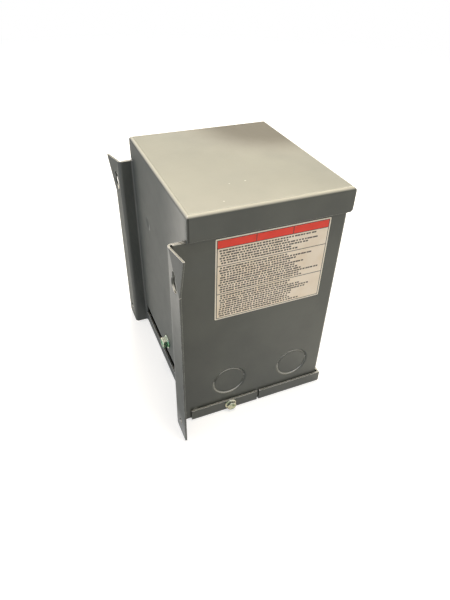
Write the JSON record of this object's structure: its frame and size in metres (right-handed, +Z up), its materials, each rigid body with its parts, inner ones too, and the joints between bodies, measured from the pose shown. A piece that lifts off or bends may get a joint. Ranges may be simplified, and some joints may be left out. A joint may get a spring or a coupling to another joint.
{
  "type": "buck boost transformer",
  "caption": "Wall-mounted potted dry transformer in a folded steel case with a roof, wall flanges with keyholes, knockouts and screwed bottom covers.",
  "frame": {"origin": "middle of the whole footprint, on the plane that the bottom covers stand on", "axes": "+X along the wall, +Y towards the wall, +Z up"},
  "size_m": [0.1832, 0.1462, 0.198],
  "materials": {
    "enclosure_paint": "semi-gloss baked grey enamel with light orange peel",
    "zinc_screws": "yellow chromate over zinc",
    "lug_metal": "plain extruded aluminium",
    "label_sheet": "printed vinyl, semi-gloss",
    "core_steel": "dark varnished electrical steel",
    "former_board": "moulded board",
    "winding_wire": "enamelled copper",
    "insulation_paper": "varnished paper",
    "clamp_steel": "plain zinc",
    "compound": "sand-filled resin",
    "lead_sleeve": "plain insulation"
  },
  "bodies": {
    "root": {"back_and_roof_sheet": "enclosure_paint", "side_and_front_sheet": "enclosure_paint", "rear_bottom_cover": "enclosure_paint", "front_bottom_cover": "enclosure_paint", "left_cover_screw": "zinc_screws", "right_cover_screw": "zinc_screws", "front_cover_screw": "zinc_screws", "ground_screw": "zinc_screws", "ground_nut": "zinc_screws", "ground_lug": "lug_metal", "ground_lug_screw": "zinc_screws", "side_label": "label_sheet", "core_e_laminations": "core_steel", "core_i_laminations": "core_steel", "coil_former": "former_board", "primary_winding": "winding_wire", "winding_insulation": "insulation_paper", "secondary_winding": "winding_wire", "outer_wrap": "insulation_paper", "clamp_bar_top_front": "clamp_steel", "clamp_bar_top_rear": "clamp_steel", "clamp_bar_bottom_front": "clamp_steel", "clamp_bar_bottom_rear": "clamp_steel", "clamp_bolts": "clamp_steel", "clamp_washers": "clamp_steel", "clamp_nuts": "clamp_steel", "potting_compound": "compound", "primary_lead_1": "lead_sleeve", "primary_lead_2": "lead_sleeve", "primary_lead_3": "lead_sleeve", "primary_lead_4": "lead_sleeve", "secondary_lead_1": "lead_sleeve", "secondary_lead_2": "lead_sleeve", "secondary_lead_3": "lead_sleeve", "secondary_lead_4": "lead_sleeve"}
  },
  "joints": []
}
